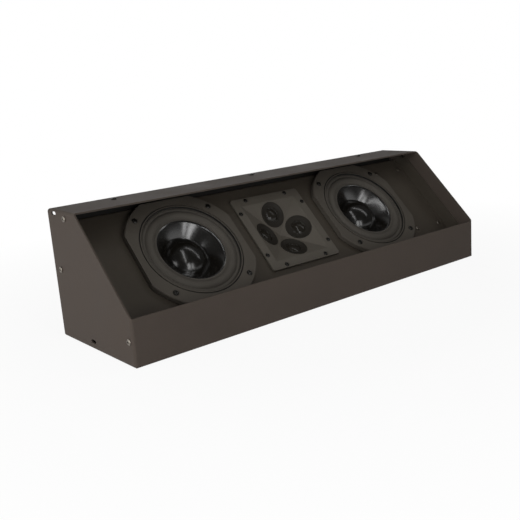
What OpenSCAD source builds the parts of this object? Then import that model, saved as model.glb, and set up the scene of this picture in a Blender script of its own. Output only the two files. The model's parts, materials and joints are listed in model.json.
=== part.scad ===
// Wedge-shaped loudspeaker with two woofers and a concave module of four tweeters.
// X runs along the cabinet, the front faces -Y and Z points up from the base.

/* [Cabinet] */
// Length of the cabinet
body_l = 762; // [730:1:900]
// Depth of the cabinet from lip to back
body_d = 220; // [214:1:260]
// Depth of the flat top
top_d = 87.5; // [82:0.5:100]
// Height of the front lip
lip_h = 71; // [66:1:90]
// Thickness of the shell's sheet
sheet_t = 2.5; // [2:0.1:3]
// Outer radius of the shell's bends
bend_r = 4.5; // [3.5:0.5:8]
// Width of the turned-in flanges round the back
rim_w = 14; // [12:0.5:18]

/* [End panel holes] */
// Length of the slots in the end panels
slot_l = 15; // [8:0.5:18]
// Height of the slots in the end panels
slot_w = 5.4; // [4:0.2:7]
// Distance of the upper slot from the back edge
slot_back = 20; // [15:1:30]
// Distance of the lower slot from the back edge
low_slot_back = 100; // [90:1:110]
// Height of the lower slot above the base
low_slot_z = 13; // [10:1:20]
// Depth of the baffle's end screws below the slope
end_screw_r = 30.5; // [29:0.5:34]
// Distance of the upper end screw above the slope's top edge
end_screw_up = 15; // [5:1:18]
// Distance of the lower end screw above the baffle's foot
end_screw_foot = 27; // [24:1:60]
// Height of the back panel's end screw
back_screw_z = 111; // [80:1:130]

/* [Baffle] */
// Depth of the baffle below the slope
recess = 53; // [50:0.5:56]
// Thickness of the baffle's sheet
baffle_t = 2; // [1.5:0.1:2.5]
// Height of the gap between the baffle's deck and the top
deck_gap = 19.5; // [18:0.5:24]
// Outer radius of the bend along the baffle's top edge
baffle_bend_r = 6; // [4:0.5:8]
// Height of the baffle's turned-out end flanges
end_flange_h = 26.5; // [25:0.5:30]
// Distance of the drivers' centre line below the slope's top edge
array_s = 74.7; // [73:0.1:78]

/* [Woofer] */
// Distance of each woofer from the middle of the cabinet
woofer_x = 198.4; // [196:0.2:206]
// Outer radius of the frame
frame_r = 109.7; // [106:0.1:110]
// Distance of the frame's flats from its centre
frame_flat = 99; // [96:0.5:99.5]
// Height of the frame above the baffle
woofer_proud = 10.5; // [8:0.5:12]
// Radius of the screw circle
woofer_pcr = 99.3; // [97:0.1:101]
// Inner radius of the surround's roll
cone_r = 61; // [58:0.5:62]
// Outer radius of the surround's roll
roll_r = 80; // [78:0.5:81]
// Height of the surround's roll
roll_h = 5.5; // [4:0.5:8]
// Radius of the dust cap
cap_r = 35.5; // [30:0.5:38]
// Height of the dust cap
cap_rise = 17; // [6:0.5:22]
// Height of the cone from its neck to its rim
cone_depth = 35; // [32:0.5:37]
// Radius of the voice coil's former
coil_r = 19; // [17:0.5:21]
// Radius of the magnet
magnet_r = 55; // [48:0.5:57]
// Thickness of the magnet
magnet_h = 18; // [14:0.5:20]
// Thickness of the steel plates on the magnet
plate_h = 6; // [5:0.5:7]
// Depth of the basket from its face to the top plate
basket_depth = 58; // [56:0.5:60]
// Number of spokes in the basket
spokes = 6; // [4:1:8]

/* [Tweeter module] */
// Width of the square module's flange
module_w = 152.4; // [148:0.1:154]
// Height of the flange above the baffle
module_proud = 4.3; // [3.5:0.1:6]
// Width of the module's square mouth
mouth_w = 121; // [118:0.5:124]
// Depth of the pyramid below the flange
pyramid_depth = 22.9; // [18:0.1:26]
// Thickness of the moulded wall
wall_t = 2.6; // [2:0.1:3.2]
// Radius of each tweeter's front ring
tweeter_r = 23.8; // [20:0.1:24.4]
// Distance of each tweeter from the mouth's edge along its face
tweeter_in = 25.9; // [25:0.1:27]
// Radius of each tweeter's dome
dome_r = 13; // [11:0.5:15]
// Distance of the flange screws from the module's centre
flange_screw_out = 70.5; // [70:0.1:71]
// Distance of the flange screws from the middle of each side
flange_screw_side = 45; // [35:0.5:55]

/* [Crossover] */
// Distance of the crossover's centre from the right end of the cabinet
crossover_in = 50; // [48:0.5:52]
// Distance of its centre below the slope's top edge
crossover_s = 72.4; // [70:0.1:76]
// Distance between its screws along the cabinet
crossover_w = 64; // [60:0.5:66]
// Distance between its screws down the slope
crossover_l = 142.6; // [130:0.1:146]
// Length of its spacers behind the baffle
spacer_l = 12; // [8:1:16]

/* [Back] */
// Thickness of the back panel's sheet
panel_t = 2; // [1.5:0.1:2.5]
// Width of the terminal dish
dish_w = 96; // [80:1:120]
// Height of the terminal dish
dish_h = 56; // [46:1:70]
// Depth of the terminal dish
dish_depth = 22; // [16:1:26]
// Height of the terminal dish's centre above the base
dish_z = 62; // [50:1:70]
// Distance between the two terminals
post_gap = 38; // [19:1:44]

/* [Top] */
// Distance of the outer top screws from the middle
top_screw_x = 279; // [240:1:300]
// Distance of the top screws from the back edge
top_screw_back = 22; // [20:1:24]
// Distance between the rail's ends and the end panels
rail_short = 14; // [12:1:40]

/* [Fits] */
// Gap between pieces that are stacked or seated
fit = 0.1; // [0.05:0.05:0.2]
// Radial gap between a screw and its hole
screw_gap = 0.3; // [0.2:0.05:0.4]

/* [Hidden] */
$fn = 64;
woofer_pieces = [
    "basket", "gasket", "surround", "cone", "dust_cap",
    "voice_coil", "spider", "top_plate", "magnet", "pole_plate"
];
tweeter_places = ["upper", "right", "lower", "left"];
tweeter_pieces = ["ring", "dome", "motor"];

// the slope runs down and forwards from the top's front edge
slope_deg = 45;
slope_c = cos(slope_deg);
slope_y = body_d / 2 - top_d;
body_h = lip_h + body_d - top_d;
half_l = body_l / 2;
in_half = half_l - sheet_t;
back_y = body_d / 2;
front_y = -body_d / 2;
cut = 1;

// screw sizes: shank radius, head radius and head height
m4 = [2, 3.8, 1.8];
m5 = [2.5, 4.6, 2.2];
past = 3;

// the back panel stands inside the shell's rim, behind the baffle's deck
panel_back = back_y - sheet_t - fit;
panel_front = panel_back - panel_t;
panel_flange = 26;
deck_z = body_h - deck_gap;
deck_s = deck_gap / slope_c - recess;
deck_back = panel_front - fit;
deck_lip = 15;
foot_z = sheet_t + fit;
foot_s = (body_h - foot_z) / slope_c - recess;
foot_flange = 20;

mat_h = 12;
mat_gap = 6;

// heights in the woofer are counted from the face of its frame
gasket_t = 1.5;
flange_t = woofer_proud - gasket_t;
woofer_cut_r = frame_r - 17.7;
bowl_r = woofer_cut_r - 1;
groove_r = woofer_cut_r - 6.5;
seat_r = roll_r + 3.5;
seat_z = -5;
lip_w = 3;
surround_t = 0.9;
cone_t = 0.8;
cone_top = seat_z;
neck_z = cone_top - cone_depth;
former_t = 0.4;
wire_t = 0.8;
coil_gap = 0.5;
pole_r = coil_r - coil_gap;
gap_r = coil_r + former_t + wire_t + coil_gap;
spider_z = neck_z - 7;
spider_r = 60;
floor_r = magnet_r + 6;
plate_z = -basket_depth - fit;
magnet_z = plate_z - plate_h - fit;
yoke_z = magnet_z - magnet_h - fit;

// heights in the module are counted from the face of its flange
module_gasket_t = 1;
module_flange_t = module_proud - module_gasket_t;
module_cut = 132;
face_tilt = atan(2 * pyramid_depth / mouth_w);
ring_seat = 1.1;
sleeve_r = dome_r + 4.5;
dome_z = -4.4;
throat_z = -1.9;

// depths of the crossover below the slope
crossover_x = half_l - crossover_in;
spacer_r = recess + baffle_t + fit;
tray_r = spacer_r + spacer_l + fit;
tray_t = 1.5;
tray_edge = 7;
tray_lip = 8;
board_gap = 4;
board_t = 1.6;
board_r = tray_r + tray_t + board_gap + fit;
parts_r = board_r + board_t + fit;

// a point of the side view, given down the slope and below it
function slope_point(s, r) = [slope_y + slope_c * (r - s), body_h - slope_c * (r + s)];
function arc(centre, r, from, to, n = 8) =
    [for (i = [0:n]) let (a = from + (to - from) * i / n) centre + r * [cos(a), sin(a)]];

module on_slope(x = 0, s = 0, r = 0) {
    translate([x, slope_y, body_h])
        rotate([slope_deg, 0, 0])
            translate([0, -s, -r])
                children();
}

module along_x(l) {
    rotate([90, 0, 90])
        translate([0, 0, -l / 2])
            linear_extrude(l)
                children();
}

module along_y(from, to) {
    translate([0, to, 0])
        rotate([90, 0, 0])
            linear_extrude(to - from)
                children();
}

module at_woofer(side) {
    on_slope(side * woofer_x, array_s, recess - woofer_proud)
        children();
}

module at_module() {
    on_slope(0, array_s, recess - module_proud)
        children();
}

module on_face(i) {
    at_module()
        rotate([0, 0, -90 * i])
            translate([0, mouth_w / 2 - tweeter_in * cos(face_tilt), -tweeter_in * sin(face_tilt)])
                rotate([face_tilt, 0, 0])
                    children();
}

module rounded_rect(w, h, r) {
    square([w - 2 * r, h], center = true);
    square([w, h - 2 * r], center = true);
    for (x = [-1, 1], y = [-1, 1])
        translate([x * (w / 2 - r), y * (h / 2 - r)])
            circle(r);
}

module slot(l, w) {
    square([l - w, w], center = true);
    for (x = [-1, 1])
        translate([x * (l - w) / 2, 0])
            circle(w / 2);
}

module ring(outer, inner, h) {
    difference() {
        cylinder(r = outer, h = h);
        translate([0, 0, -cut])
            cylinder(r = inner, h = h + 2 * cut);
    }
}

module block(w, d, h) {
    translate([-w / 2, -d / 2, 0])
        cube([w, d, h]);
}

// a screw stands on z = 0 with its head above and its shank below
module pan_screw(m, l) {
    translate([0, 0, -l])
        cylinder(r = m[0], h = l + fit);
    translate([0, 0, fit])
        difference() {
            rotate_extrude()
                polygon([[0, 0], [m[1], 0], [m[1], m[2] * 0.5], [m[1] * 0.7, m[2]], [0, m[2]]]);
            translate([0, 0, m[2] * 0.4])
                cylinder(r = m[0] * 0.8, h = m[2], $fn = 6);
        }
}

module flat_screw(m, l) {
    translate([0, 0, -l])
        cylinder(r = m[0], h = l - m[2] + fit);
    translate([0, 0, -m[2] - fit])
        difference() {
            cylinder(r1 = m[0], r2 = m[1], h = m[2]);
            translate([0, 0, m[2] * 0.5])
                cylinder(r = m[0] * 0.7, h = m[2], $fn = 6);
        }
}

module flat_hole(m, l) {
    translate([0, 0, -l])
        cylinder(r = m[0] + screw_gap, h = l + cut);
    translate([0, 0, -m[2]])
        cylinder(r1 = m[0] + screw_gap, r2 = m[1] + screw_gap, h = m[2] + 0.01);
}

module through(m, l) {
    translate([0, 0, -l])
        cylinder(r = m[0] + screw_gap, h = 2 * l);
}

// places of the screws
module at_top_screws() {
    for (x = [-1, 0, 1])
        translate([x * top_screw_x, back_y - top_screw_back, body_h])
            children();
}

module at_end_point(point) {
    for (side = [-1, 1])
        translate([side * half_l, point[0], point[1]])
            rotate([0, side * 90, 0])
                children();
}

module at_end_screws() {
    at_end_point(slope_point(-end_screw_up, end_screw_r))
        children();
    at_end_point(slope_point(foot_s - end_screw_foot, end_screw_r))
        children();
}

module at_panel_end_screws() {
    at_end_point([panel_front - panel_flange / 2 - 3, back_screw_z])
        children();
}

foot_screw_y = slope_point(foot_s, recess)[0] + foot_flange / 2 + 2;
foot_screw_x = 258;
back_screw_step = 166;
side_screws_z = [55, 138];

module at_foot_screws() {
    for (x = [-1, 0, 1])
        translate([x * foot_screw_x, foot_screw_y, 0])
            rotate([180, 0, 0])
                children();
}

module at_rim_screws() {
    for (x = [-2:2])
        translate([x * back_screw_step, back_y, (rim_w + sheet_t) / 2])
            rotate([-90, 0, 0])
                children();
    for (side = [-1, 1], z = side_screws_z)
        translate([side * (half_l - (rim_w + sheet_t) / 2), back_y, z])
            rotate([-90, 0, 0])
                children();
}

module at_deck_screws() {
    for (x = [-2:2])
        translate([x * back_screw_step, panel_back, deck_z - deck_lip / 2 - 1])
            rotate([-90, 0, 0])
                children();
}

module at_woofer_screws() {
    for (side = [-1, 1], a = [45:90:315])
        at_woofer(side)
            rotate([0, 0, a])
                translate([woofer_pcr, 0, 0])
                    children();
}

module at_module_screws() {
    at_module()
        for (a = [0:90:270], side = [-1, 1])
            rotate([0, 0, a])
                translate([flange_screw_out, side * flange_screw_side, 0])
                    children();
}

module at_crossover_screws() {
    for (x = [-1, 1], y = [-1, 1])
        on_slope(crossover_x + x * crossover_w / 2, crossover_s + y * crossover_l / 2, recess)
            children();
}

// the shell's form: outside at gap 0, inside at the thickness of the sheet
module case_block(gap) {
    r = bend_r - gap;
    y0 = front_y + gap;
    intersection() {
        along_y(front_y - cut, back_y + cut)
            translate([0, body_h / 2])
                rounded_rect(body_l - 2 * gap, body_h - 2 * gap, r);
        translate([0, r + cut, -cut])
            linear_extrude(body_h + 2 * cut)
                rounded_rect(body_l - 2 * gap, body_d - 2 * gap + 2 * r + 2 * cut, r);
        along_x(body_l + 2 * cut)
            union() {
                translate([y0 + r, gap + r])
                    circle(r);
                translate([y0 + r, gap])
                    square([body_d + 2 * cut, body_h]);
                translate([y0, gap + r])
                    square([body_d + 2 * cut, body_h]);
            }
    }
}

module wedge() {
    along_x(body_l + 2 * cut)
        polygon([[front_y - cut, -cut], [front_y - cut, lip_h - cut], [slope_y + cut, body_h + cut],
            [back_y, body_h + cut], [back_y, -cut]]);
}

// folded and welded shell, open along the slope and at the back
module outer_shell() {
    color("#2f2d2b")
    difference() {
        intersection() {
            wedge();
            union() {
                difference() {
                    case_block(0);
                    case_block(sheet_t);
                }
                intersection() {
                    case_block(0);
                    along_y(back_y - sheet_t, back_y + cut)
                        difference() {
                            translate([-half_l, 0])
                                square([body_l, deck_z - fit]);
                            translate([-half_l + rim_w, rim_w])
                                square([body_l - 2 * rim_w, body_h]);
                        }
                }
            }
        }
        // the top and the lip are cut square where they meet the slope
        translate([-in_half, slope_y - 2 * sheet_t, body_h - sheet_t - cut])
            cube([2 * in_half, 2 * sheet_t, sheet_t + 2 * cut]);
        translate([-in_half, front_y - cut, lip_h])
            cube([2 * in_half, sheet_t + 2 * cut, sheet_t + cut]);
        for (place = [[slot_back, body_h - sheet_t - fit - slot_w / 2], [low_slot_back, low_slot_z]])
            along_x(body_l + 2 * cut)
                translate([back_y - place[0], place[1]])
                    slot(slot_l, slot_w);
        at_top_screws()
            through(m5, sheet_t + cut);
        at_end_screws()
            through(m5, sheet_t + cut);
        at_panel_end_screws()
            through(m5, sheet_t + cut);
        at_foot_screws()
            flat_hole(m5, sheet_t + cut);
        at_rim_screws()
            flat_hole(m4, sheet_t + cut);
    }
}

// sheet that is folded into the baffle, its deck, its back lip and its foot
function baffle_profile() =
    let (
        corner = slope_point(deck_s, recess),
        bend = corner + baffle_bend_r * [slope_c, -1 - slope_c] / (1 + slope_c),
        foot = slope_point(foot_s, recess),
        inner_s = (body_h - foot_z - baffle_t) / slope_c - recess - baffle_t
    )
    concat(
        [foot],
        arc(bend, baffle_bend_r, 180 - slope_deg, 90),
        [[deck_back, deck_z], [deck_back, deck_z - deck_lip]],
        [[deck_back - baffle_t, deck_z - deck_lip], [deck_back - baffle_t, deck_z - baffle_t]],
        arc(bend, baffle_bend_r - baffle_t, 90, 180 - slope_deg),
        [slope_point(inner_s, recess + baffle_t)],
        [foot + [foot_flange, baffle_t], foot + [foot_flange, 0]]
    );

module baffle_panel() {
    slope_len = foot_s - deck_s;
    color("#242220")
    difference() {
        intersection() {
            union() {
                along_x(2 * (in_half - fit))
                    polygon(baffle_profile());
                for (side = [-1, 1])
                    on_slope(side * (in_half - fit - baffle_t / 2), deck_s + slope_len / 2, recess + baffle_t)
                        block(baffle_t, slope_len, end_flange_h + baffle_t);
            }
            case_block(sheet_t + fit);
        }
        for (side = [-1, 1])
            at_woofer(side)
                translate([0, 0, -woofer_proud - baffle_t - cut])
                    cylinder(r = woofer_cut_r, h = baffle_t + 2 * cut);
        at_module()
            translate([0, 0, -module_proud - baffle_t - cut])
                linear_extrude(baffle_t + 2 * cut)
                    rounded_rect(module_cut, module_cut, 3);
        at_woofer_screws()
            through(m5, woofer_proud + 2 * baffle_t);
        at_module_screws()
            through(m4, module_proud + 2 * baffle_t);
        at_crossover_screws()
            through(m4, 2 * baffle_t);
        at_end_screws()
            through(m5, sheet_t + 2 * baffle_t);
        at_foot_screws()
            through(m5, foot_z + 2 * baffle_t);
        at_top_screws()
            through(m5, deck_gap + 2 * baffle_t);
        at_deck_screws()
            through(m4, panel_t + 2 * baffle_t);
    }
}

module dish_outline(grow) {
    translate([0, dish_z])
        rounded_rect(dish_w + grow, dish_h + grow, 5);
}

module back_panel() {
    wide = 2 * (in_half - fit);
    color("#2b2927")
    difference() {
        union() {
            along_y(panel_front, panel_back)
                translate([-wide / 2, foot_z])
                    square([wide, deck_z - foot_z]);
            for (side = [-1, 1])
                translate([side * (wide - panel_t) / 2 - panel_t / 2, panel_front - panel_flange, foot_z + rim_w])
                    cube([panel_t, panel_flange + cut, deck_z - foot_z - 2 * rim_w]);
        }
        along_y(panel_front - cut, panel_back + cut)
            dish_outline(1);
        at_panel_end_screws()
            through(m5, sheet_t + 2 * panel_t);
        at_rim_screws()
            through(m4, sheet_t + 2 * panel_t);
        at_deck_screws()
            through(m4, 2 * panel_t);
    }
}

// channel that holds the top on the baffle's deck
module top_rail() {
    rail_t = 1.5;
    rail_d = 20;
    front = back_y - top_screw_back - rail_d / 3;
    high = deck_gap - sheet_t - 2 * fit;
    color("#3a3836")
    difference() {
        along_x(2 * (in_half - rail_short))
            translate([front, deck_z + fit])
                difference() {
                    square([rail_d, high]);
                    translate([rail_t, rail_t])
                        square([rail_d, high - 2 * rail_t]);
                }
        at_top_screws()
            through(m5, body_h);
    }
}

module top_screws() {
    color("#1a1a1a")
    at_top_screws()
        pan_screw(m5, deck_gap + baffle_t + past);
}

module case_screws() {
    color("#4a4845") {
        at_end_screws()
            pan_screw(m5, sheet_t + baffle_t + past);
        at_panel_end_screws()
            pan_screw(m5, sheet_t + panel_t + past);
        at_foot_screws()
            flat_screw(m5, sheet_t + baffle_t + past);
    }
}

module back_screws() {
    color("#4a4845") {
        at_rim_screws()
            flat_screw(m4, sheet_t + panel_t + past);
        at_deck_screws()
            pan_screw(m4, panel_t + baffle_t + past);
    }
}

module woofer_screws() {
    color("#151515")
    at_woofer_screws()
        pan_screw(m5, woofer_proud + baffle_t + 2 * past);
}

module module_screws() {
    color("#151515")
    at_module_screws()
        pan_screw(m4, module_proud + baffle_t + 2 * past);
}

module crossover_screws() {
    color("#8d8a86")
    at_crossover_screws()
        pan_screw(m4, tray_r + tray_t - recess + past);
}

// nuts pressed into the back of the baffle
module clinch_nuts() {
    nut_h = 3.5;
    color("#77746f") {
        at_woofer_screws()
            translate([0, 0, -woofer_proud - baffle_t - fit - nut_h])
                ring(m5[0] + 2, m5[0] + screw_gap, nut_h);
        at_module_screws()
            translate([0, 0, -module_proud - baffle_t - fit - nut_h])
                ring(m4[0] + 1.8, m4[0] + screw_gap, nut_h);
    }
}

// cast basket: flange with flats, groove, seat for the surround, spokes and floor
module basket(side) {
    window = 360 / spokes;
    spoke_a = 14;
    color("#3b3937")
    at_woofer(side)
        difference() {
            intersection() {
                rotate_extrude($fn = 96)
                    polygon([
                        [seat_r, 0], [groove_r, 0], [groove_r, -2.5], [groove_r + 2, -2.5],
                        [groove_r + 2, 0], [frame_r - 1.2, 0], [frame_r, -1.2], [frame_r, -flange_t],
                        [bowl_r, -flange_t], [bowl_r, spider_z + 25], [floor_r, plate_z + 7],
                        [floor_r, plate_z + fit], [gap_r + 5, plate_z + fit], [gap_r + 5, plate_z + 3],
                        [floor_r - 4, plate_z + 3], [floor_r - 4, spider_z - 3],
                        [spider_r - 7, spider_z - 3], [spider_r - 7, spider_z],
                        [floor_r + 2.5, spider_z], [bowl_r - 4, spider_z + 25.5],
                        [bowl_r - 4, seat_z - 4], [roll_r, seat_z - 4], [roll_r, seat_z], [seat_r, seat_z]
                    ]);
                translate([0, 0, plate_z - cut])
                    block(2 * frame_flat, 2 * frame_flat, 2 * basket_depth);
            }
            for (a = [0:window:359])
                rotate([0, 0, a + spoke_a / 2])
                    rotate_extrude(angle = window - spoke_a)
                        translate([floor_r, spider_z + 2])
                            square([bowl_r, 21]);
            for (a = [45:90:315])
                rotate([0, 0, a])
                    translate([woofer_pcr, 0, 0])
                        through(m5, 2 * flange_t);
        }
}

module woofer_gasket(side) {
    color("#111111")
    at_woofer(side)
        translate([0, 0, -woofer_proud + fit])
            difference() {
                intersection() {
                    cylinder(r = frame_r - 1, h = gasket_t - 2 * fit);
                    translate([0, 0, -cut])
                        block(2 * frame_flat - 2, 2 * frame_flat - 2, gasket_t + 2 * cut);
                }
                translate([0, 0, -cut])
                    cylinder(r = woofer_cut_r, h = gasket_t + 2 * cut);
                for (a = [45:90:315])
                    rotate([0, 0, a])
                        translate([woofer_pcr, 0, 0])
                            through(m5, 2 * gasket_t);
            }
}

// rubber half roll between the cone's rim and the basket's seat
module surround(side) {
    span = (roll_r - cone_r) / 2;
    bow = (span * span + roll_h * roll_h) / (2 * roll_h);
    base = seat_z + fit;
    color("#1c1b1b")
    at_woofer(side)
        rotate_extrude($fn = 96)
            union() {
                translate([cone_r - lip_w, base])
                    square([lip_w + surround_t / 2, surround_t]);
                translate([roll_r - surround_t / 2, base])
                    square([seat_r - roll_r - fit + surround_t / 2, surround_t]);
                intersection() {
                    translate([cone_r - surround_t, base])
                        square([roll_r - cone_r + 2 * surround_t, 2 * roll_h]);
                    translate([cone_r + span, base + roll_h - bow])
                        difference() {
                            circle(bow, $fn = 96);
                            circle(bow - surround_t, $fn = 96);
                        }
                }
            }
}

// height of the cone's face at a radius, slightly bowed
cone_in = coil_r + former_t + fit;
cone_edge = cone_r - lip_w - 1;
function cone_height(r) =
    let (u = (r - cone_in) / (cone_edge - cone_in))
    neck_z + cone_depth * (u + 0.22 * u * (1 - u));

module cone(side) {
    steps = 10;
    slant = [for (i = [0:steps]) let (r = cone_in + (cone_edge - cone_in) * i / steps) [r, cone_height(r)]];
    color("#0e0e0f")
    at_woofer(side)
        rotate_extrude($fn = 96)
            polygon(concat(
                [[cone_in, neck_z - 3]],
                slant,
                [[cone_r, cone_top], [cone_r, cone_top - cone_t], [cone_edge, cone_top - cone_t]],
                [for (i = [steps - 1:-1:1]) slant[i] - [0, cone_t]],
                [[cone_in + cone_t, neck_z - 3]]
            ));
}

module dust_cap(side) {
    bow = (cap_r * cap_r + cap_rise * cap_rise) / (2 * cap_rise);
    base = cone_height(cap_r) + fit;
    color("#0b0b0c")
    at_woofer(side)
        rotate_extrude($fn = 96)
            intersection() {
                translate([0, base])
                    square([cap_r, 2 * cap_rise]);
                translate([0, base + cap_rise - bow])
                    difference() {
                        circle(bow, $fn = 96);
                        circle(bow - cone_t, $fn = 96);
                    }
            }
}

module voice_coil(side) {
    wire_l = 2 * plate_h + 1;
    low = plate_z - plate_h / 2 - wire_l / 2;
    color("#a5602a")
    at_woofer(side) {
        translate([0, 0, low])
            ring(coil_r + former_t, coil_r, neck_z - low);
        translate([0, 0, low + 0.5])
            ring(coil_r + former_t + wire_t, coil_r + former_t / 2, wire_l);
    }
}

// corrugated spider between the voice coil and the basket's shelf
module spider(side) {
    spider_t = 0.6;
    steps = 40;
    from = coil_r + former_t + fit;
    to = spider_r - 7;
    waves = 5;
    flat_z = spider_z + fit;
    fold = [for (i = [0:steps]) [
        from + (to - from) * i / steps,
        flat_z + 0.8 * (1 - cos(360 * waves * i / steps))
    ]];
    color("#b58a3c")
    at_woofer(side)
        rotate_extrude($fn = 96)
            polygon(concat(
                [for (p = fold) p + [0, spider_t]],
                [[spider_r - fit, flat_z + spider_t], [spider_r - fit, flat_z]],
                [for (i = [steps:-1:0]) fold[i]]
            ));
}

module top_plate(side) {
    color("#6c6b69")
    at_woofer(side)
        translate([0, 0, plate_z - plate_h])
            ring(magnet_r - 1, gap_r, plate_h);
}

module magnet(side) {
    color("#2b2b2d")
    at_woofer(side)
        translate([0, 0, magnet_z - magnet_h])
            ring(magnet_r, gap_r + 6, magnet_h);
}

// back plate and vented pole in one turned piece
module pole_plate(side) {
    vent_r = 7;
    color("#6c6b69")
    at_woofer(side)
        rotate_extrude()
            polygon([
                [vent_r, plate_z], [pole_r - 0.8, plate_z], [pole_r, plate_z - 0.8], [pole_r, yoke_z],
                [magnet_r - 2, yoke_z], [magnet_r - 1, yoke_z - 1], [magnet_r - 1, yoke_z - plate_h + 1],
                [magnet_r - 2, yoke_z - plate_h], [vent_r + 2, yoke_z - plate_h], [vent_r, yoke_z - plate_h + 2]
            ]);
}

// square pyramid hanging from z = 0
module pyramid(half, depth) {
    module ridge() {
        rotate([90, 0, 0])
            translate([0, 0, -half])
                linear_extrude(2 * half)
                    polygon([[-half, 0], [half, 0], [0, -depth]]);
    }
    intersection() {
        ridge();
        rotate([0, 0, 90])
            ridge();
    }
}

// moulded flange with the hollow pyramid that the tweeters look out of
module tweeter_module() {
    mouth = mouth_w / 2;
    color("#33312f")
    difference() {
        at_module()
            difference() {
                union() {
                    translate([0, 0, -module_flange_t])
                        linear_extrude(module_flange_t)
                            rounded_rect(module_w, module_w, 5);
                    translate([0, 0, -wall_t / cos(face_tilt)])
                        pyramid(mouth, pyramid_depth);
                }
                pyramid(mouth, pyramid_depth);
                translate([0, 0, -fit])
                    block(mouth_w, mouth_w, cut);
            }
        for (i = [0:3])
            on_face(i) {
                translate([0, 0, -ring_seat - fit])
                    cylinder(r = tweeter_r + fit, h = 3 * wall_t);
                translate([0, 0, -5 * wall_t])
                    cylinder(r = sleeve_r + screw_gap, h = 6 * wall_t);
            }
        at_module_screws()
            through(m4, 2 * module_flange_t);
    }
}

module module_gasket() {
    color("#111111")
    difference() {
        at_module()
            translate([0, 0, -module_proud + fit])
                linear_extrude(module_gasket_t - 2 * fit)
                    difference() {
                        rounded_rect(module_w - 1, module_w - 1, 5);
                        rounded_rect(module_cut, module_cut, 3);
                    }
        at_module_screws()
            through(m4, 2 * module_proud);
    }
}

// dished front ring with its sleeve
module tweeter_ring(i) {
    hole = dome_r + 0.6;
    low = dome_z - fit;
    color("#1b1a1a")
    on_face(i)
        rotate_extrude()
            polygon([
                [hole, low], [sleeve_r, low], [sleeve_r, -ring_seat], [tweeter_r, -ring_seat], [tweeter_r, 0.4],
                [tweeter_r - 0.4, 0.8], [tweeter_r - 1.5, 0.8], [tweeter_r - 4.8, 0],
                [hole + 1, throat_z], [hole, throat_z]
            ]);
}

module tweeter_dome(i) {
    rise = 4.6;
    shell = 0.5;
    bow = (dome_r * dome_r + rise * rise) / (2 * rise);
    color("#0c0c0d")
    on_face(i)
        rotate_extrude()
            union() {
                translate([dome_r - 1, dome_z])
                    square([1.4, shell]);
                intersection() {
                    translate([0, dome_z])
                        square([dome_r, 2 * rise]);
                    translate([0, dome_z + rise - bow])
                        difference() {
                            circle(bow);
                            circle(bow - shell);
                        }
                }
            }
}

module tweeter_motor(i) {
    front = dome_z - 2 * fit;
    cup = dome_r + 3;
    color("#55534f")
    on_face(i)
        rotate_extrude()
            polygon([
                [0, front], [cup + 1.2, front], [cup + 1.2, front - 2.4], [cup - 0.4, front - 2.4],
                [cup - 0.4, front - 9], [cup - 1.5, front - 9], [cup - 1.5, front - 11.5], [0, front - 11.5]
            ]);
}

module crossover_spacers() {
    color("#8d8a86")
    at_crossover_screws()
        translate([0, 0, recess - spacer_r - spacer_l])
            ring(m4[0] + 2, m4[0] + screw_gap, spacer_l);
}

module on_crossover(r) {
    on_slope(crossover_x, crossover_s, r)
        children();
}

// folded tray with pressed seats for the board
module crossover_tray() {
    w = crossover_w + 2 * tray_edge;
    l = crossover_l + 2 * tray_edge;
    color("#4d4b48")
    difference() {
        on_crossover(tray_r + tray_t) {
            block(w, l, tray_t);
            for (side = [-1, 1])
                translate([side * (w - tray_t) / 2, 0, -tray_lip])
                    block(tray_t, l, tray_lip + tray_t);
            for (x = [-1, 1], y = [-1, 1])
                translate([x * crossover_w * 0.36, y * crossover_l * 0.36, -board_gap])
                    cylinder(r = 3, h = board_gap + tray_t / 2);
        }
        at_crossover_screws()
            through(m4, 2 * tray_r);
    }
}

module crossover_board() {
    color("#1f4a33")
    on_crossover(board_r + board_t)
        block(crossover_w - 8, crossover_l - 24, board_t);
}

// parts on the board: across it, along it, radius and length or height
coils = [[-5, 38, 18, 16], [8, 0, 15, 14], [-12, -37, 13.5, 12]];
capacitors = [[20.5, 38, 6, 22], [-18, 7, 5.5, 21], [11, -37, 6.5, 30]];
resistors = [[-20, -13.5], [23, -37]];
resistor_size = [7, 16, 7];

module crossover_bobbins() {
    color("#20201f")
    on_crossover(parts_r)
        for (coil = coils)
            translate([coil[0], coil[1], -coil[3]])
                rotate_extrude()
                    polygon([
                        [4, 0], [coil[2], 0], [coil[2], 1.5], [7, 1.5], [7, coil[3] - 1.5],
                        [coil[2], coil[3] - 1.5], [coil[2], coil[3]], [4, coil[3]]
                    ]);
}

module crossover_windings() {
    color("#a5602a")
    on_crossover(parts_r)
        for (coil = coils)
            translate([coil[0], coil[1], fit + 1.5 - coil[3]])
                ring(coil[2] - 2, 7 + fit, coil[3] - 3 - 2 * fit);
}

module crossover_capacitors() {
    color("#b8a24a")
    on_crossover(parts_r)
        for (part = capacitors)
            translate([part[0], part[1], -part[2]])
                rotate([90, 0, 0])
                    cylinder(r = part[2], h = part[3], center = true);
}

module crossover_resistors() {
    color("#d8d4c8")
    on_crossover(parts_r)
        for (place = resistors)
            translate([place[0], place[1], -resistor_size[2]])
                block(resistor_size[0], resistor_size[1], resistor_size[2]);
}

module damping_mat() {
    from = slope_point(foot_s, recess)[0] + foot_flange + mat_gap / 2;
    to = panel_front - panel_flange - mat_gap;
    color("#3d3d3f")
    translate([-in_half + mat_gap, from, foot_z + fit])
        cube([2 * (in_half - mat_gap), to - from, mat_h]);
}

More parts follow.
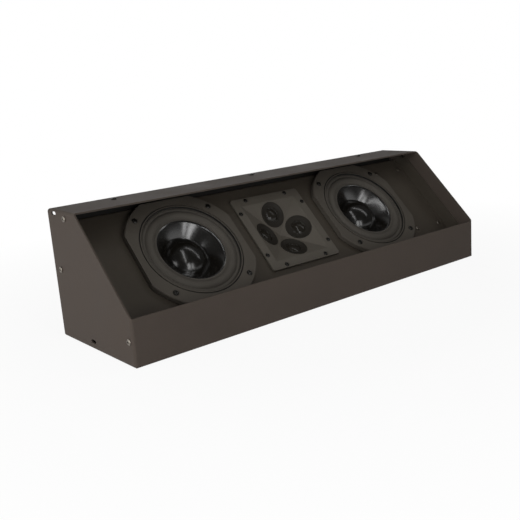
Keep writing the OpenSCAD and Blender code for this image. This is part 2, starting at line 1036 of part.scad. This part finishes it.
// dish with its flange on the outside of the back panel
module terminal_dish() {
    dish_t = 2;
    floor_y = panel_back - dish_depth;
    color("#1a1a1a")
    difference() {
        union() {
            along_y(panel_back + fit, panel_back + 1.6)
                dish_outline(12);
            along_y(floor_y - dish_t, panel_back + 2 * fit)
                dish_outline(0);
        }
        along_y(floor_y, back_y)
            dish_outline(-2 * dish_t);
        at_posts()
            cylinder(r = 3 + screw_gap, h = 4 * dish_depth, center = true);
    }
}

module at_posts() {
    for (side = [-1, 1])
        translate([side * post_gap / 2, panel_back - dish_depth, dish_z])
            rotate([-90, 0, 0])
                children();
}

module terminal_posts() {
    color("#c9a54a")
    at_posts()
        rotate_extrude()
            polygon([
                [0, -12], [3, -12], [3, fit], [7, fit], [7, 2], [5, 3], [3, 3], [3, 16], [0, 16]
            ]);
}

module terminal_caps() {
    color("#222222")
    at_posts()
        difference() {
            rotate_extrude()
                polygon([[3 + screw_gap, 8], [6.2, 8], [6.8, 9], [6.8, 18], [6, 19], [0, 19], [0, 16.5], [3 + screw_gap, 16.5]]);
            for (a = [0:30:359])
                rotate([0, 0, a])
                    translate([7.1, 0, 8.5])
                        cylinder(r = 0.7, h = 10, $fn = 6);
        }
}

module woofer_piece(piece, side) {
    if (piece == "basket") basket(side);
    if (piece == "gasket") woofer_gasket(side);
    if (piece == "surround") surround(side);
    if (piece == "cone") cone(side);
    if (piece == "dust_cap") dust_cap(side);
    if (piece == "voice_coil") voice_coil(side);
    if (piece == "spider") spider(side);
    if (piece == "top_plate") top_plate(side);
    if (piece == "magnet") magnet(side);
    if (piece == "pole_plate") pole_plate(side);
}

module tweeter_piece(piece, i) {
    if (piece == "ring") tweeter_ring(i);
    if (piece == "dome") tweeter_dome(i);
    if (piece == "motor") tweeter_motor(i);
}

outer_shell();
baffle_panel();
back_panel();
top_rail();
top_screws();
case_screws();
back_screws();
woofer_screws();
module_screws();
crossover_screws();
clinch_nuts();
crossover_spacers();
crossover_tray();
crossover_board();
crossover_bobbins();
crossover_windings();
crossover_capacitors();
crossover_resistors();
damping_mat();
terminal_dish();
terminal_posts();
terminal_caps();
tweeter_module();
module_gasket();
for (s = [0, 1], piece = woofer_pieces)
    woofer_piece(piece, 2 * s - 1);
for (i = [0:3], piece = tweeter_pieces)
    tweeter_piece(piece, i);
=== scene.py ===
import json
import math

import bpy
import numpy as np
from mathutils import Matrix, Vector


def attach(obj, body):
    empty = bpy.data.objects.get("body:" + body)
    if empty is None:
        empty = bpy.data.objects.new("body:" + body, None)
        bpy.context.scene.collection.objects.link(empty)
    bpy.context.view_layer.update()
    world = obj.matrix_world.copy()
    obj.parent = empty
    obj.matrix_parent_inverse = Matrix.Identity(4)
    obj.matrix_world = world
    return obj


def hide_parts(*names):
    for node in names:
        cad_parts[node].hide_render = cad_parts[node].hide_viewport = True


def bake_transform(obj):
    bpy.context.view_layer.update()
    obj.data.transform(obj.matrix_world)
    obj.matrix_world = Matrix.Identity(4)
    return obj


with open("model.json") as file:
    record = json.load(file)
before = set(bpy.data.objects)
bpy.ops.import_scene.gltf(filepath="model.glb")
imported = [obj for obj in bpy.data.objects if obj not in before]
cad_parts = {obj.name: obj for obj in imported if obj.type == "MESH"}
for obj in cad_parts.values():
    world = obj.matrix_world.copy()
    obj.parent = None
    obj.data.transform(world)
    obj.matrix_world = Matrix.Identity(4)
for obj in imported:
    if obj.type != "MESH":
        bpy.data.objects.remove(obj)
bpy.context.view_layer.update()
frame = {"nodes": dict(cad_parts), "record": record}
nodes = frame["nodes"]
print("frame loaded:", len(nodes), "nodes")

# places on the baffle, which lies under the slope; every size in this file is in metres
slope = {"top": (0.0, 0.0225, 0.2035), "angle": math.radians(45), "drivers": 0.0747, "recess": 0.053}
woofer = {"x": 0.1984, "proud": 0.0105, "seatZ": -0.005}
module = {"proud": 0.0043, "mouth": 0.121, "depth": 0.0229, "tweeterIn": 0.0259}


def onSlope(x, down, under):
    return (Matrix.Translation(slope["top"]) @ Matrix.Rotation(slope["angle"], 4, "X")
            @ Matrix.Translation((x, -down, -under)))


def wooferPlace(side):
    return onSlope(side * woofer["x"], slope["drivers"], slope["recess"] - woofer["proud"])


def tweeterPlace(turn):
    tilt = math.atan(2 * module["depth"] / module["mouth"])
    out = module["mouth"] / 2 - module["tweeterIn"] * math.cos(tilt)
    return (onSlope(0, slope["drivers"], slope["recess"] - module["proud"])
            @ Matrix.Rotation(math.radians(-90 * turn), 4, "Z")
            @ Matrix.Translation((0, out, -module["tweeterIn"] * math.sin(tilt)))
            @ Matrix.Rotation(tilt, 4, "X"))


# shader maths
class Signal:
    def __init__(self, finish, socket):
        self.finish = finish
        self.socket = socket

    def maths(self, operation, first, second):
        return self.finish.node("ShaderNodeMath", {"operation": operation}, {0: first, 1: second})

    def __add__(self, other):
        return self.maths("ADD", self, other)

    def __radd__(self, other):
        return self.maths("ADD", other, self)

    def __sub__(self, other):
        return self.maths("SUBTRACT", self, other)

    def __rsub__(self, other):
        return self.maths("SUBTRACT", other, self)

    def __mul__(self, other):
        return self.maths("MULTIPLY", self, other)

    def __rmul__(self, other):
        return self.maths("MULTIPLY", other, self)


class Finish:
    def __init__(self, name, world=None):
        self.material = world or bpy.data.materials.new(name)
        self.material.use_nodes = True
        self.tree = self.material.node_tree
        self.shader = self.tree.nodes["Background" if world else "Principled BSDF"]

    def feed(self, socket, value):
        if isinstance(value, Signal):
            self.tree.links.new(value.socket, socket)
        else:
            socket.default_value = value

    def node(self, kind, settings=None, sockets=None, output=0):
        made = self.tree.nodes.new(kind)
        for name, value in (settings or {}).items():
            setattr(made, name, value)
        for name, value in (sockets or {}).items():
            self.feed(made.inputs[name], value)
        return Signal(self, made.outputs[output])

    def place(self):
        return self.node("ShaderNodeTexCoord", output="Object")

    def noise(self, scale, detail, where=None):
        return self.node("ShaderNodeTexNoise", {}, {
            "Vector": where or self.place(), "Scale": scale, "Detail": detail})

    def wave(self, direction, scale):
        return self.node("ShaderNodeTexWave", {"bands_direction": direction}, {
            "Vector": self.place(), "Scale": scale})

    def tone(self, colour, dark, light, mask):
        # the colour made darker and lighter, as the mask goes from 0 to 1
        return self.node("ShaderNodeMix", {"data_type": "RGBA"}, {
            0: mask, 6: tint(*colour, dark), 7: tint(*colour, light)}, output=2)

    def span(self, value, low, high, toLow, toHigh):
        return self.node("ShaderNodeMapRange", {"clamp": True}, {
            "Value": value, "From Min": low, "From Max": high, "To Min": toLow, "To Max": toHigh})

    def unevenGloss(self, value, smoothest, roughest):
        # noise keeps mostly between these two values
        return self.span(value, 0.3, 0.7, smoothest, roughest)

    def bump(self, height, strength, distance):
        normal = self.node("ShaderNodeBump", {}, {
            "Height": height, "Strength": strength, "Distance": distance})
        self.feed(self.shader.inputs["Normal"], normal)

    def look(self, **sockets):
        for name, value in sockets.items():
            self.feed(self.shader.inputs[name.replace("_", " ")], value)

    def raysOf(self, *kinds):
        return [self.node("ShaderNodeLightPath", output="Is %s Ray" % kind) for kind in kinds]


def tint(red, green, blue, scale):
    # screen values from 0 to 255, as the linear colour that a shader takes
    def toLinear(value):
        value = value / 255
        return (value / 12.92 if value <= 0.04045 else ((value + 0.055) / 1.055) ** 2.4) * scale
    return (toLinear(red), toLinear(green), toLinear(blue), 1.0)


def powderCoat(name, colour, rough, grain, depth, cloud, shine):
    # sprayed coat with a fine orange peel and slightly uneven gloss
    coat = Finish(name)
    fine = coat.noise(scale=grain, detail=3.0)
    broad = coat.noise(scale=11, detail=4.0)
    mask = coat.span(fine * 0.35 + broad * 0.65, low=0.35, high=0.65, toLow=0.0, toHigh=1.0)
    coat.look(Base_Color=coat.tone(colour, dark=1 - cloud, light=1 + cloud, mask=mask),
              Roughness=coat.unevenGloss(broad, rough - 0.05, rough + 0.06), Specular_IOR_Level=shine)
    coat.bump(fine, strength=depth, distance=0.0003)
    return coat.material


def mouldedPlastic(name, colour, rough, grain=2600, depth=0.18, shine=0.5):
    # spark-eroded grain of a moulding
    plastic = Finish(name)
    fine = plastic.noise(scale=grain, detail=2.0)
    broad = plastic.noise(scale=25, detail=3.0)
    plastic.look(Base_Color=plastic.tone(colour, dark=0.9, light=1.1, mask=broad),
                 Roughness=plastic.unevenGloss(fine, rough - 0.04, rough + 0.05), Specular_IOR_Level=shine)
    plastic.bump(fine, strength=depth, distance=0.0002)
    return plastic.material


def glossBlack(name, colour, rough, shine, ripple=0.05):
    # polished cone, cap or ring with a very slight unevenness
    gloss = Finish(name)
    broad = gloss.noise(scale=60, detail=2.0)
    fine = gloss.noise(scale=900, detail=2.0)
    gloss.look(Base_Color=gloss.tone(colour, dark=0.85, light=1.15, mask=broad),
               Roughness=gloss.unevenGloss(fine, rough - 0.03, rough + 0.04), Specular_IOR_Level=shine)
    gloss.bump(broad, strength=ripple, distance=0.001)
    return gloss.material


def bareMetal(name, colour, rough, scratch, blend=1.0):
    # turned or rolled metal with fine lines along X
    metal = Finish(name)
    stretched = metal.node("ShaderNodeMapping", {}, {"Vector": metal.place(), "Scale": (0.06, 1.0, 1.0)})
    lines = metal.noise(scale=scratch, detail=4.0, where=stretched)
    broad = metal.noise(scale=40, detail=3.0)
    metal.look(Base_Color=metal.tone(colour, dark=0.82, light=1.12, mask=broad * 0.5 + lines * 0.5),
               Metallic=blend, Roughness=metal.unevenGloss(lines, rough - 0.07, rough + 0.1))
    metal.bump(lines, strength=0.1, distance=0.0002)
    return metal.material


def wovenCloth(name, colour, rough, thread):
    # plain weave from two crossed waves
    cloth = Finish(name)
    weave = cloth.wave("X", thread) * 0.5 + cloth.wave("Y", thread) * 0.5
    cloth.look(Base_Color=cloth.tone(colour, dark=0.7, light=1.15, mask=weave), Roughness=rough)
    cloth.bump(weave, strength=0.4, distance=0.0005)
    return cloth.material


def feltedFibre(name, colour, rough):
    felt = Finish(name)
    fluff = felt.noise(scale=420, detail=6.0)
    felt.look(Base_Color=felt.tone(colour, dark=0.55, light=1.3, mask=fluff), Roughness=rough)
    felt.bump(fluff, strength=0.8, distance=0.002)
    return felt.material


finishes = {
    "shell_paint": powderCoat("shellPaint", (80, 72, 66), 0.6,
                              grain=1500, depth=0.22, cloud=0.07, shine=0.08),
    "baffle_paint": powderCoat("bafflePaint", (69, 63, 55), 0.58,
                               grain=1700, depth=0.2, cloud=0.1, shine=0.2),
    "panel_paint": powderCoat("panelPaint", (60, 55, 50), 0.55,
                              grain=1500, depth=0.22, cloud=0.08, shine=0.4),
    "rail_steel": powderCoat("railCoat", (22, 21, 19), 0.6,
                             grain=1800, depth=0.15, cloud=0.08, shine=0.1),
    "screw_black": bareMetal("screwBlack", (32, 30, 27), 0.3, scratch=900, blend=0.6),
    "screw_steel": bareMetal("screwSteel", (120, 114, 106), 0.36, scratch=900),
    "tray_steel": bareMetal("traySteel", (140, 137, 131), 0.4, scratch=300),
    "board_green": mouldedPlastic("boardGreen", (30, 74, 51), 0.3, grain=900, depth=0.1),
    "bobbin_black": mouldedPlastic("bobbinBlack", (34, 34, 33), 0.5),
    "copper_wire": bareMetal("copperWire", (178, 104, 52), 0.3, scratch=1800),
    "capacitor_film": mouldedPlastic("capacitorFilm", (184, 162, 74), 0.25, grain=300, depth=0.05),
    "resistor_body": mouldedPlastic("resistorBody", (206, 200, 186), 0.8, grain=1200, depth=0.4),
    "damping_fibre": feltedFibre("dampingFibre", (62, 62, 64), 0.95),
    "dish_black": mouldedPlastic("dishBlack", (34, 33, 32), 0.45),
    "post_gold": bareMetal("postGold", (214, 176, 92), 0.25, scratch=1200),
    "cap_plastic": mouldedPlastic("capPlastic", (30, 30, 30), 0.35),
    "basket_cast": powderCoat("basketCoat", (80, 75, 68), 0.55,
                              grain=1300, depth=0.35, cloud=0.1, shine=0.2),
    "module_plastic": mouldedPlastic("modulePlastic", (89, 84, 76), 0.5,
                                     grain=2400, depth=0.2, shine=0.25),
    "gasket_foam": feltedFibre("gasketFoam", (20, 19, 17), 0.95),
    "surround_rubber": mouldedPlastic("surroundRubber", (78, 74, 68), 0.62,
                                      grain=1800, depth=0.12, shine=0.2),
    "cone_black": glossBlack("coneBlack", (18, 16, 13), 0.2, shine=0.9),
    "spider_cloth": wovenCloth("spiderCloth", (176, 138, 62), 0.9, thread=900),
    "plate_steel": bareMetal("plateSteel", (128, 126, 122), 0.35, scratch=500),
    "magnet_ferrite": mouldedPlastic("magnetFerrite", (44, 44, 46), 0.7, grain=1400, depth=0.3),
    "ring_black": glossBlack("ringBlack", (40, 37, 32), 0.5, shine=0.15),
    "dome_black": glossBlack("domeBlack", (40, 37, 32), 0.1, shine=0.25),
    "motor_steel": bareMetal("motorSteel", (100, 97, 92), 0.4, scratch=600),
}
# the dust caps are duller than the cones, though they share a slot with them
capFinish = glossBlack("capBlack", (20, 18, 15), 0.19, shine=0.55, ripple=0.02)
slotOf = {part["node"]: part["material_slot"] for part in frame["record"]["subparts"]}
for name, thing in nodes.items():
    thing.data.materials.clear()
    thing.data.materials.append(finishes[slotOf[name]])
print("finishes:", len(finishes))

# turned pieces that carry the gloss, smoother than the frame's own
onAxis = 1e-6
sharpAngle = math.radians(38)


def turned(name, outline, place, steps=144):
    # closed outline of (radius, height); points on the axis become one vertex
    points = []
    rows = []
    for radius, height in outline:
        if radius < onAxis:
            rows.append([len(points)] * steps)
            points.append((0, 0, height))
            continue
        rows.append(list(range(len(points), len(points) + steps)))
        for step in range(steps):
            angle = 2 * math.pi * step / steps
            points.append((radius * math.cos(angle), radius * math.sin(angle), height))
    faces = []
    for index, row in enumerate(rows):
        following = rows[(index + 1) % len(rows)]
        for step in range(steps):
            after = (step + 1) % steps
            corners = []
            for corner in (row[step], following[step], following[after], row[after]):
                if corner not in corners:
                    corners.append(corner)
            if len(corners) > 2:
                faces.append(corners)
    mesh = bpy.data.meshes.new(name)
    mesh.from_pydata(points, [], faces)
    mesh.transform(place)
    mesh.update()
    thing = bpy.data.objects.new(name, mesh)
    bpy.context.scene.collection.objects.link(thing)
    mesh.shade_smooth()
    mesh.set_sharp_from_angle(angle=sharpAngle)
    return thing


def dress(thing, node, body, finish=None):
    thing.data.materials.append(finish or finishes[slotOf[node]])
    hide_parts(node)
    if body:
        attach(thing, body)


def arcOutline(centre, radius, start, end, count):
    angles = [math.radians(start + (end - start) * i / count) for i in range(count + 1)]
    return [(centre[0] + radius * math.cos(angle), centre[1] + radius * math.sin(angle)) for angle in angles]


def bowOf(halfWidth, rise):
    # radius of a low arch, and half of the angle that it spans
    radius = (halfWidth ** 2 + rise ** 2) / (2 * rise)
    return radius, math.degrees(math.asin(halfWidth / radius))


def archOutline(inner, outer, base, rise, count):
    # low arch between two radii
    halfWidth = (outer - inner) / 2
    bow, half = bowOf(halfWidth, rise)
    return arcOutline((inner + halfWidth, base + rise - bow), bow, 90 + half, 90 - half, count)


# woofers: the skins replace the frame's cones, caps, surrounds and spiders
cone = {"neckR": 0.0195, "neckZ": -0.040, "neckLip": 0.003, "edgeR": 0.057, "rimR": 0.061, "depth": 0.035,
        "flare": 0.22, "thick": 0.0008, "steps": 18}
dustCap = {"radius": 0.0355, "rise": 0.017, "thick": 0.0008, "lift": 0.0001, "steps": 20}
# thin dark rings in the frame's groove, in the gasket foam's colour: painted shade for the shadow that the
# frame's inner lip casts there
grooveShadeRings = ({"innerR": 0.0832, "outerR": 0.0834, "low": -0.0038, "high": -0.0003},
             {"innerR": 0.0856, "outerR": 0.0874, "low": -0.0024, "high": -0.0014})
surround = {"innerR": 0.061, "outerR": 0.080, "rise": 0.0055, "thick": 0.0009, "lift": 0.0001, "tuck": 0.003,
            "valleyR": 0.0765, "gap": 0.0002, "beadR": 0.0827, "beadRise": 0.0012, "edgeR": 0.0833,
            "steps": 28, "beadSteps": 10}
spider = {"z": -0.0469, "innerR": 0.0195, "waveWidth": 0.0335, "waveRise": 0.0008, "waves": 5,
          "thick": 0.0006, "outerR": 0.0599, "bendFrom": 0.0205, "bendTo": 0.052, "steps": 60}
slopeNormal = Vector((0, -math.sin(slope["angle"]), math.cos(slope["angle"])))


def coneHeight(radius):
    share = (radius - cone["neckR"]) / (cone["edgeR"] - cone["neckR"])
    return cone["neckZ"] + cone["depth"] * (share + cone["flare"] * share * (1 - share))


def coneOutline():
    # down the front, round the rim that the surround is glued to, and back behind
    width = cone["edgeR"] - cone["neckR"]
    radii = [cone["neckR"] + width * i / cone["steps"] for i in range(cone["steps"] + 1)]
    face = [(r, coneHeight(r)) for r in radii]
    back = [(r, h - cone["thick"]) for r, h in reversed(face[1:-1])]
    seat = woofer["seatZ"]
    rim = [(cone["rimR"], seat), (cone["rimR"], seat - cone["thick"]), (cone["edgeR"], seat - cone["thick"])]
    foot = cone["neckZ"] - cone["neckLip"]
    return [(cone["neckR"], foot)] + face + rim + back + [(cone["neckR"] + cone["thick"], foot)]


def capOutline():
    bow, half = bowOf(dustCap["radius"], dustCap["rise"])
    middle = (0, coneHeight(dustCap["radius"]) + dustCap["lift"] + dustCap["rise"] - bow)
    return (arcOutline(middle, bow, 90 - half, 90, dustCap["steps"])
            + arcOutline(middle, bow - dustCap["thick"], 90, 90 - half, dustCap["steps"]))


def rollOutline():
    # a half roll, then a low bead out to the frame's seat
    thick = surround["thick"]
    base = woofer["seatZ"] + surround["lift"]
    inner = surround["innerR"] - surround["tuck"]
    roll = archOutline(surround["innerR"], surround["valleyR"], base + thick, surround["rise"] - thick,
                       surround["steps"])
    bead = archOutline(surround["valleyR"] + surround["gap"], surround["beadR"], base + thick,
                       surround["beadRise"], surround["beadSteps"])
    under = archOutline(surround["innerR"] + thick, surround["valleyR"] - thick, base,
                        surround["rise"] - 2 * thick, surround["steps"])
    return ([(inner, base), (inner, base + thick)] + roll + bead
            + [(surround["edgeR"], base + thick), (surround["edgeR"], base)] + list(reversed(under)))


def spiderOutline():
    under = []
    for i in range(spider["steps"] + 1):
        share = i / spider["steps"]
        swing = spider["waveRise"] * (1 - math.cos(2 * math.pi * spider["waves"] * share))
        under.append((spider["innerR"] + spider["waveWidth"] * share, spider["z"] + swing))
    top = [(r, h + spider["thick"]) for r, h in under]
    edge = [(spider["outerR"], spider["z"] + spider["thick"]), (spider["outerR"], spider["z"])]
    return top + edge + list(reversed(under))


def blendByRadius(thing, middle, innerR, outerR):
    # bakes the placement into the mesh and works out a share by radius for each vertex, but nothing uses it,
    # so the mesh keeps its shape
    middle + Vector((outerR, 0, 0))
    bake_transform(thing)
    for vertex in thing.data.vertices:
        away = vertex.co - middle
        away -= away.dot(slopeNormal) * slopeNormal
        share = min(1, max(0, (away.length - innerR) / (outerR - innerR)))
        share * share * (3 - 2 * share)


for side, hand in ((-1, "left"), (1, "right")):
    place = wooferPlace(side)
    body = hand + "_cone_unit"
    dress(turned(hand + "ConeSkin", coneOutline(), place), hand + "_woofer_cone", body)
    dress(turned(hand + "CapSkin", capOutline(), place), hand + "_woofer_dust_cap", body, capFinish)
    # the dark rings in the groove are painted shade
    for count, size in enumerate(grooveShadeRings):
        outline = [(size["innerR"], size["low"]), (size["outerR"], size["low"]),
                   (size["outerR"], size["high"]), (size["innerR"], size["high"])]
        shadeRing = turned("%sSeal%d" % (hand, count), outline, place)
        shadeRing.data.materials.append(finishes["gasket_foam"])
        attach(shadeRing, "cabinet")
    roll = turned(hand + "RollSkin", rollOutline(), place)
    dress(roll, hand + "_woofer_surround", None)
    blendByRadius(roll, place @ Vector((0, 0, woofer["seatZ"])), surround["innerR"], surround["outerR"])
    web = turned(hand + "SpiderSkin", spiderOutline(), place)
    dress(web, hand + "_woofer_spider", None)
    blendByRadius(web, place @ Vector((0, 0, spider["z"])), spider["bendFrom"], spider["bendTo"])
print("woofer skins done")

# tweeters: a dished ring and a dome on each face of the module
frontRing = {"holeR": 0.0136, "footR": 0.0175, "footZ": -0.0045, "outerR": 0.0238, "backZ": -0.0011,
             "edgeZ": 0.0004, "edgeRound": 0.0004, "throatR": 0.0146, "throatZ": -0.0019,
             "dishR": 0.0223, "dishZ": 0.0008, "flare": 1.25, "steps": 14, "edgeSteps": 4}
dome = {"footR": 0.0134, "footZ": -0.0044, "seatZ": -0.0029, "innerR": 0.011, "rollR": 0.0012, "rise": 0.0031,
        "thick": 0.0005, "overlap": 2, "steps": 16, "rollSteps": 10}


def ringOutline():
    # the dish curves out of its throat and rounds over at the rim
    width = frontRing["dishR"] - frontRing["throatR"]
    climb = frontRing["dishZ"] - frontRing["throatZ"]
    dish = []
    for i in range(frontRing["steps"] + 1):
        share = i / frontRing["steps"]
        dish.append((frontRing["throatR"] + width * share,
                     frontRing["throatZ"] + climb * share ** frontRing["flare"]))
    corner = frontRing["edgeRound"]
    edge = arcOutline((frontRing["outerR"] - corner, frontRing["edgeZ"]), corner,
                      0, 90, frontRing["edgeSteps"])
    return ([(frontRing["holeR"], frontRing["footZ"]), (frontRing["footR"], frontRing["footZ"]),
             (frontRing["footR"], frontRing["backZ"]), (frontRing["outerR"], frontRing["backZ"]),
             (frontRing["outerR"], frontRing["edgeZ"])]
            + edge[1:] + list(reversed(dish)) + [(frontRing["holeR"], frontRing["throatZ"])])


def domeOutline():
    # a small roll seats the dome in the throat of the ring
    bow, half = bowOf(dome["innerR"], dome["rise"])
    middle = (0, dome["seatZ"] + dome["rise"] - bow)
    roll = arcOutline((dome["innerR"] + dome["rollR"], dome["seatZ"]), dome["rollR"],
                      0, 180, dome["rollSteps"])
    return ([(dome["footR"], dome["footZ"]), (dome["footR"], dome["seatZ"])] + roll[1:]
            + arcOutline(middle, bow, 90 - half + dome["overlap"], 90, dome["steps"])
            + arcOutline(middle, bow - dome["thick"], 90, 90 - half, dome["steps"])
            + [(dome["innerR"], dome["footZ"])])


for turn, where in enumerate(("upper", "right", "lower", "left")):
    place = tweeterPlace(turn)
    dress(turned(where + "RingSkin", ringOutline(), place, steps=96), where + "_tweeter_ring", "cabinet")
    dress(turned(where + "DomeSkin", domeOutline(), place, steps=72), where + "_tweeter_dome", "cabinet")
print("tweeter skins done")

# lights: a soft key from the left, two boxes in front, and strips above that draw the streaks
lamps = {
    "leftSoftbox": {"power": 19, "size": (1.7, 1.1), "spot": (-1.8, -0.2, 0.5), "aim": (0, 0, 0.1)},
    "frontBoxLeft": {"power": 3.8, "size": (0.34, 0.65), "spot": (-0.32, -1.6, 0.36), "aim": (-0.1, 0, 0.12)},
    "frontBoxRight": {"power": 1.9, "size": (0.2, 0.55), "spot": (0.13, -1.6, 0.3), "aim": (0.1, 0, 0.12)},
    "overheadStripLeft": {"power": 2.7, "size": (0.08, 1.4), "spot": (-0.38, -0.75, 1.2),
                          "aim": (-0.198, 0, 0.12)},
    "overheadStripRight": {"power": 2.3, "size": (0.08, 1.7), "spot": (0.75, -0.5, 1.25),
                           "aim": (0.198, 0, 0.12)},
}
for name, lamp in lamps.items():
    light = bpy.data.lights.new(name, "AREA")
    light.shape = "RECTANGLE"
    light.energy = lamp["power"]
    light.size, light.size_y = lamp["size"]
    thing = bpy.data.objects.new(name, light)
    thing.location = lamp["spot"]
    thing.rotation_euler = (Vector(lamp["aim"]) - Vector(lamp["spot"])).to_track_quat("-Z", "Y").to_euler()
    bpy.context.scene.collection.objects.link(thing)

# floor: white to the eye, but a little of its own paint keeps the shadow near the object
floor = {"radius": 4, "z": -0.0002, "sides": 64, "tone": 0.9, "rough": 0.9, "shine": 0.1,
         "nearEdge": 0.35, "farEdge": 0.95, "nearWhite": 0.92}
turns = [2 * math.pi * i / floor["sides"] for i in range(floor["sides"])]
rim = [(floor["radius"] * math.cos(angle), floor["radius"] * math.sin(angle), floor["z"]) for angle in turns]
floorMesh = bpy.data.meshes.new("paleFloor")
floorMesh.from_pydata(rim, [], [list(range(floor["sides"]))])
paleFloor = bpy.data.objects.new("paleFloor", floorMesh)
bpy.context.scene.collection.objects.link(paleFloor)
paint = Finish("floorPaint")
paint.look(Base_Color=(floor["tone"], floor["tone"], floor["tone"], 1), Roughness=floor["rough"],
           Specular_IOR_Level=floor["shine"])
seen, mirrored, through = paint.raysOf("Camera", "Glossy", "Transmission")
away = paint.node("ShaderNodeVectorMath", {"operation": "LENGTH"}, {0: paint.place()}, output="Value")
veil = paint.span(away, floor["nearEdge"], floor["farEdge"], floor["nearWhite"], 1.0)
glow = paint.node("ShaderNodeEmission", {}, {"Color": (1, 1, 1, 1), "Strength": 1.0})
mixed = paint.node("ShaderNodeMixShader", {}, {
    0: (seen + mirrored + through) * veil, 1: Signal(paint, paint.shader.outputs[0]), 2: glow})
paint.feed(paint.tree.nodes["Material Output"].inputs["Surface"], mixed)
floorMesh.materials.append(paint.material)

# room: gloss sees a white sweep behind the object and a dim room in front of it
room = {"fill": 0.05, "front": 0.08, "sweepStart": 0.15, "sweepFull": 0.6}
world = bpy.data.worlds.new("softRoom")
bpy.context.scene.world = world
air = Finish("softRoom", world)
wayBack = air.node("ShaderNodeSeparateXYZ", {}, {0: air.node("ShaderNodeTexCoord")}, output=1)
sweep = air.span(wayBack, room["sweepStart"], room["sweepFull"], room["front"], 1.0)
seen, mirrored, through = air.raysOf("Camera", "Glossy", "Transmission")
air.look(Color=(1, 1, 1, 1), Strength=(room["fill"] + seen * (1 - room["fill"])
                                       + (mirrored + through) * (sweep - room["fill"])))
print("lights, floor and room done")

# camera: angles in degrees, and the focal length in pixels of the photo's frame
view = {"azimuth": -38.43, "elevation": 13.55, "roll": -4.41, "distance": 1.27826,
        "target": (-0.06517, 0.0, 0.07161), "focal": 751.9, "pixels": 520, "sensor": 36}
turnA, riseA, rollA = (math.radians(view[key]) for key in ("azimuth", "elevation", "roll"))
backward = Vector((math.sin(turnA) * math.cos(riseA), -math.cos(turnA) * math.cos(riseA), math.sin(riseA)))
rightward = Vector((math.cos(turnA), math.sin(turnA), 0))
upward = backward.cross(rightward)
tiltRight = math.cos(rollA) * rightward + math.sin(rollA) * upward
tiltUp = math.cos(rollA) * upward - math.sin(rollA) * rightward
pose = Matrix((tiltRight, tiltUp, backward)).transposed().to_4x4()
pose.translation = Vector(view["target"]) + backward * view["distance"]
cameraData = bpy.data.cameras.new("photoCamera")
cameraData.sensor_width = view["sensor"]
cameraData.lens = view["focal"] / view["pixels"] * view["sensor"]
camera = bpy.data.objects.new("photoCamera", cameraData)
camera.matrix_world = pose
bpy.context.scene.collection.objects.link(camera)
bpy.context.scene.camera = camera
bpy.context.scene.view_settings.view_transform = "Standard"
print("camera done")
